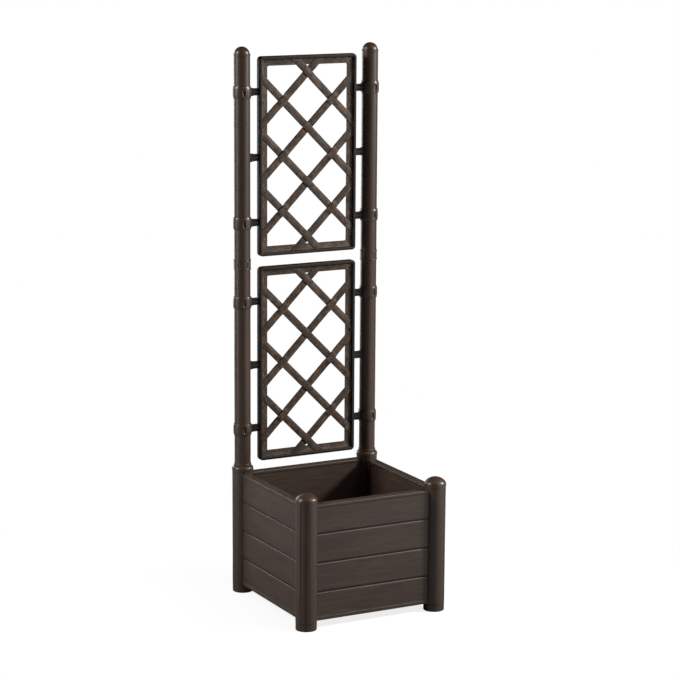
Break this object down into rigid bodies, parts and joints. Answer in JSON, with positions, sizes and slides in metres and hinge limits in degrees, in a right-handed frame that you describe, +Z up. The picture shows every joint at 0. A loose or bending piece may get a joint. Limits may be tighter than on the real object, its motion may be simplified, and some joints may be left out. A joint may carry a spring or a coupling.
{
  "type": "planter with trellis",
  "caption": "Square hollow-walled floor planter on round corner posts, with a tall woven climbing trellis of framed panels clipped to poles behind it.",
  "frame": {"origin": "on the floor, under the middle of the planter box", "axes": "+Z up, +X to the right along the front wall, -Y to the front, trellis on the +Y side"},
  "size_m": [0.4218, 0.4217, 1.42],
  "materials": {
    "post_plastic": "satin, moulded",
    "panel_plastic": "satin, moulded with a fine wood grain",
    "pole_plastic": "satin, extruded",
    "trellis_plastic": "satin, moulded with a fine wood grain"
  },
  "bodies": {
    "root": {"corner_post_front_left": "post_plastic", "foot_front_left": "post_plastic", "corner_post_front_right": "post_plastic", "foot_front_right": "post_plastic", "corner_post_back_right": "post_plastic", "foot_back_right": "post_plastic", "corner_post_back_left": "post_plastic", "foot_back_left": "post_plastic", "post_cap_front_left": "post_plastic", "post_cap_front_right": "post_plastic", "pole_socket_left": "post_plastic", "pole_socket_right": "post_plastic", "wall_panel_front": "panel_plastic", "wall_panel_right": "panel_plastic", "wall_panel_back": "panel_plastic", "wall_panel_left": "panel_plastic", "floor_plate": "panel_plastic", "pole_lower_left": "pole_plastic", "pole_joint_left": "pole_plastic", "pole_upper_left": "pole_plastic", "pole_cap_left": "pole_plastic", "pole_lower_right": "pole_plastic", "pole_joint_right": "pole_plastic", "pole_upper_right": "pole_plastic", "pole_cap_right": "pole_plastic", "trellis_lower": "trellis_plastic", "trellis_upper": "trellis_plastic"}
  },
  "joints": []
}
